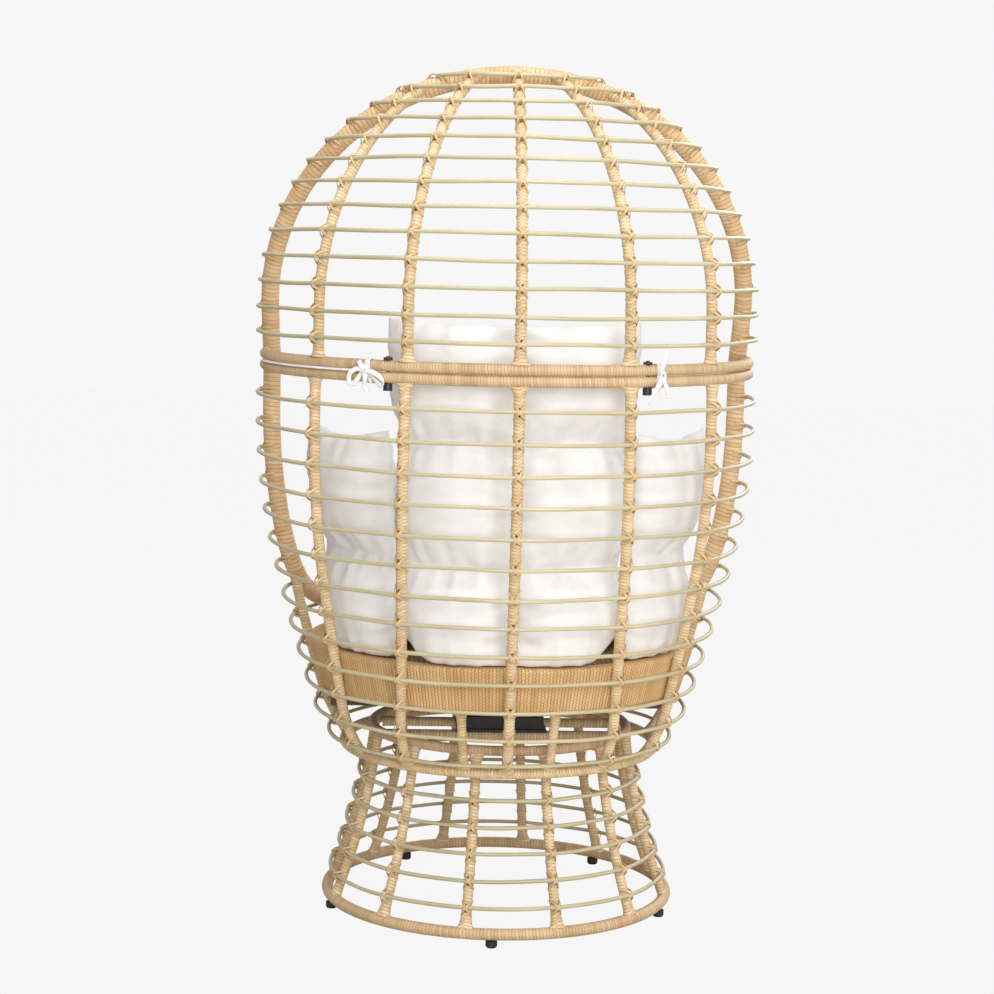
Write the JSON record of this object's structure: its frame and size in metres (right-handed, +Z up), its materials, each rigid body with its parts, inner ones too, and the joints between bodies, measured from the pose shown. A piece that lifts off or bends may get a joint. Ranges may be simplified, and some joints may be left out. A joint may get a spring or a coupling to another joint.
{
  "type": "swivel pod chair",
  "caption": "Egg-shaped caged pod lounge chair of wrapped tube and woven cane on a round flared swivel base, with loose puffed white cushions tied to the frame.",
  "frame": {"origin": "on the floor under the middle of the chair's plan", "axes": "+Z up, the open front of the pod faces -Y at rest"},
  "size_m": [0.888, 0.815, 1.483],
  "materials": {
    "wrapped_resin": "flat resin strand wound round steel tube",
    "cane_resin": "smooth straw-coloured round strand",
    "deck_resin": "tight flat weave",
    "black_metal": "black powder coat",
    "zinc_steel": "zinc plated",
    "beam_wood": "stained",
    "glide_rubber": "moulded black",
    "cushion_cloth": "plain woven white cover",
    "tie_cotton": "white cotton ribbon"
  },
  "bodies": {
    "base": {"base_bottom_ring": "wrapped_resin", "base_top_ring": "wrapped_resin", "base_ribs": "wrapped_resin", "base_canes": "cane_resin", "base_cross_bars": "wrapped_resin", "foot_glides": "glide_rubber", "swivel_base_plate": "black_metal", "swivel_lower_block": "black_metal", "swivel_pin": "zinc_steel", "swivel_pin_nut": "zinc_steel", "swivel_base_screws": "zinc_steel"},
    "swivel_cage": {"swivel_balls": "zinc_steel", "swivel_ball_cage": "zinc_steel"},
    "pod": {"swivel_upper_block": "black_metal", "swivel_top_plate": "black_metal", "swivel_top_screws": "zinc_steel", "deck_beams": "beam_wood", "deck_frame": "wrapped_resin", "deck_weave": "deck_resin", "pod_bottom_ring": "wrapped_resin", "skirt_struts": "wrapped_resin", "bowl_canes": "cane_resin", "bowl_rim": "wrapped_resin", "bowl_seam_ring": "wrapped_resin", "hood_seam_ring": "wrapped_resin", "hood_rim": "wrapped_resin", "hood_canes": "cane_resin", "seam_bolts": "black_metal", "seam_cap_nuts": "black_metal", "seat_cushion": "cushion_cloth", "back_cushion": "cushion_cloth", "wing_cushion_left": "cushion_cloth", "wing_cushion_right": "cushion_cloth", "cushion_tie_left": "tie_cotton", "cushion_tie_right": "tie_cotton", "side_rib_left": "wrapped_resin", "side_rib_right": "wrapped_resin", "hood_rib_1": "wrapped_resin", "hood_rib_2": "wrapped_resin", "hood_rib_3": "wrapped_resin", "hood_rib_4": "wrapped_resin", "hood_rib_5": "wrapped_resin", "bowl_rib_1": "wrapped_resin", "bowl_rib_2": "wrapped_resin", "bowl_rib_3": "wrapped_resin", "bowl_rib_4": "wrapped_resin", "bowl_rib_5": "wrapped_resin", "front_rib_1": "wrapped_resin", "front_rib_2": "wrapped_resin", "front_rib_3": "wrapped_resin"}
  },
  "joints": [
    {"name": "swivel", "type": "hinge", "parent": "base", "child": "pod", "pos_m": [0, -0.03647, 0.35], "axis": [0, 0, 1], "continuous": true},
    {"name": "ball_cage_roll", "type": "hinge", "parent": "base", "child": "swivel_cage", "pos_m": [0, -0.03647, 0.35], "axis": [0, 0, 1], "continuous": true}
  ],
  "couplings": [
    {"joint": "ball_cage_roll", "follows": "swivel", "ratio": 0.5}
  ]
}
